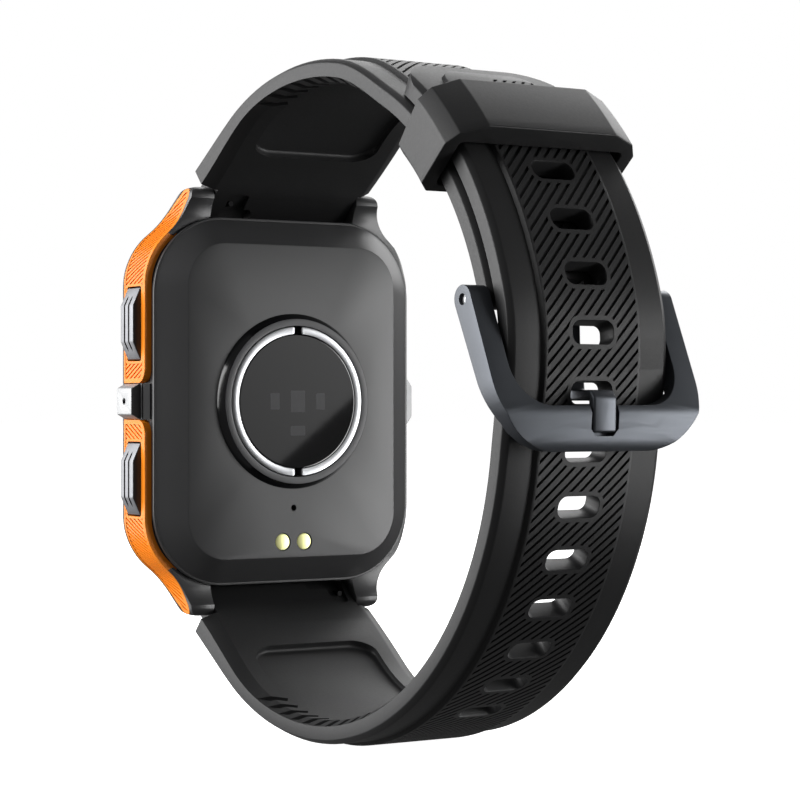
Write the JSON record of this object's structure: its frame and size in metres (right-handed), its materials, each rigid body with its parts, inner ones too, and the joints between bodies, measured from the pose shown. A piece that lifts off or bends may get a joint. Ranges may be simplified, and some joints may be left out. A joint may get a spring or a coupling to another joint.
{
  "type": "running watch",
  "caption": "Running watch with an optical heart-rate sensor, side buttons and a buckled silicone strap.",
  "frame": {"origin": "centre of the sensor lens's flat outer face, where the watch touches the wrist", "axes": "+X towards 3 o'clock and the buttons, +Y out of the back cover towards the wrist, +Z towards 12 o'clock"},
  "size_m": [0.0436, 0.0801, 0.0847],
  "materials": {
    "case_plastic": "moulded, fine matt texture",
    "orange_plastic": "moulded, satin with fine ribs",
    "black_glass": "polished, black backed",
    "black_gloss": "moulded, polished",
    "strap_silicone": "moulded, soft matt",
    "gunmetal": "satin, dark plated",
    "bright_steel": "satin",
    "gold_contact": "plated",
    "circuit_board": "solder mask",
    "seal_rubber": "moulded",
    "cell_foil": "wrapped foil"
  },
  "bodies": {
    "case": {"back_cover": "case_plastic", "back_cover_seal": "seal_rubber", "battery": "cell_foil", "board_screw_1": "bright_steel", "board_screw_2": "bright_steel", "board_screw_3": "bright_steel", "board_screw_4": "bright_steel", "buckle_pin": "bright_steel", "button_o_ring_lower": "seal_rubber", "button_o_ring_upper": "seal_rubber", "charge_contact_left": "gold_contact", "charge_contact_right": "gold_contact", "display_glass": "black_glass", "display_panel": "black_glass", "electrode_left": "bright_steel", "electrode_right": "bright_steel", "front_bezel": "case_plastic", "left_side_plate": "bright_steel", "lower_strap": "strap_silicone", "main_board": "circuit_board", "microphone": "bright_steel", "microphone_port_plate": "bright_steel", "mid_case": "case_plastic", "photodiode_left": "black_glass", "photodiode_lower": "black_glass", "photodiode_right": "black_glass", "satellite_antenna": "gold_contact", "sensor_bezel": "black_gloss", "sensor_board": "circuit_board", "sensor_carrier": "case_plastic", "sensor_leds": "black_glass", "sensor_lens": "black_glass", "speaker": "case_plastic", "spring_bar_coil_lower": "bright_steel", "spring_bar_coil_upper": "bright_steel", "spring_bar_tip_lower": "bright_steel", "spring_bar_tip_upper": "bright_steel", "spring_bar_tube_lower": "bright_steel", "spring_bar_tube_upper": "bright_steel", "tactile_switch_lower": "black_gloss", "tactile_switch_upper": "black_gloss", "trim_left_lower": "orange_plastic", "trim_left_upper": "orange_plastic", "trim_right_lower": "orange_plastic", "trim_right_upper": "orange_plastic", "upper_strap": "strap_silicone", "vibration_motor": "bright_steel"},
    "button_upper": {"button_cap_upper": "gunmetal", "button_clip_upper": "bright_steel"},
    "button_lower": {"button_cap_lower": "gunmetal", "button_clip_lower": "bright_steel"},
    "keeper": {"keeper": "strap_silicone"},
    "buckle": {"buckle_frame": "gunmetal"},
    "tongue": {"buckle_tongue": "gunmetal"},
    "release_upper": {"quick_release_lever_upper": "bright_steel"},
    "release_lower": {"quick_release_lever_lower": "bright_steel"}
  },
  "joints": [
    {"name": "button_upper_press", "type": "slide", "parent": "case", "child": "button_upper", "axis": [-1, 0, 0], "range_m": [0, 0.0006], "stiffness_N_per_m": 4000},
    {"name": "button_lower_press", "type": "slide", "parent": "case", "child": "button_lower", "axis": [-1, 0, 0], "range_m": [0, 0.0006], "stiffness_N_per_m": 4000},
    {"name": "keeper_slide", "type": "hinge", "parent": "case", "child": "keeper", "pos_m": [0, 0.0209, 0], "axis": [1, 0, 0], "range_deg": [-17, 18]},
    {"name": "buckle_lift", "type": "hinge", "parent": "case", "child": "buckle", "pos_m": [0, 0.0593, 0.0112], "axis": [1, 0, 0], "range_deg": [0, 2.5]},
    {"name": "tongue_lift", "type": "hinge", "parent": "buckle", "child": "tongue", "pos_m": [0, 0.0593, 0.0112], "axis": [1, 0, 0], "range_deg": [0, 2.5]},
    {"name": "quick_release_upper_draw", "type": "slide", "parent": "case", "child": "release_upper", "axis": [-1, 0, 0], "range_m": [0, 0.0015], "stiffness_N_per_m": 600},
    {"name": "quick_release_lower_draw", "type": "slide", "parent": "case", "child": "release_lower", "axis": [1, 0, 0], "range_m": [0, 0.0015], "stiffness_N_per_m": 600}
  ]
}
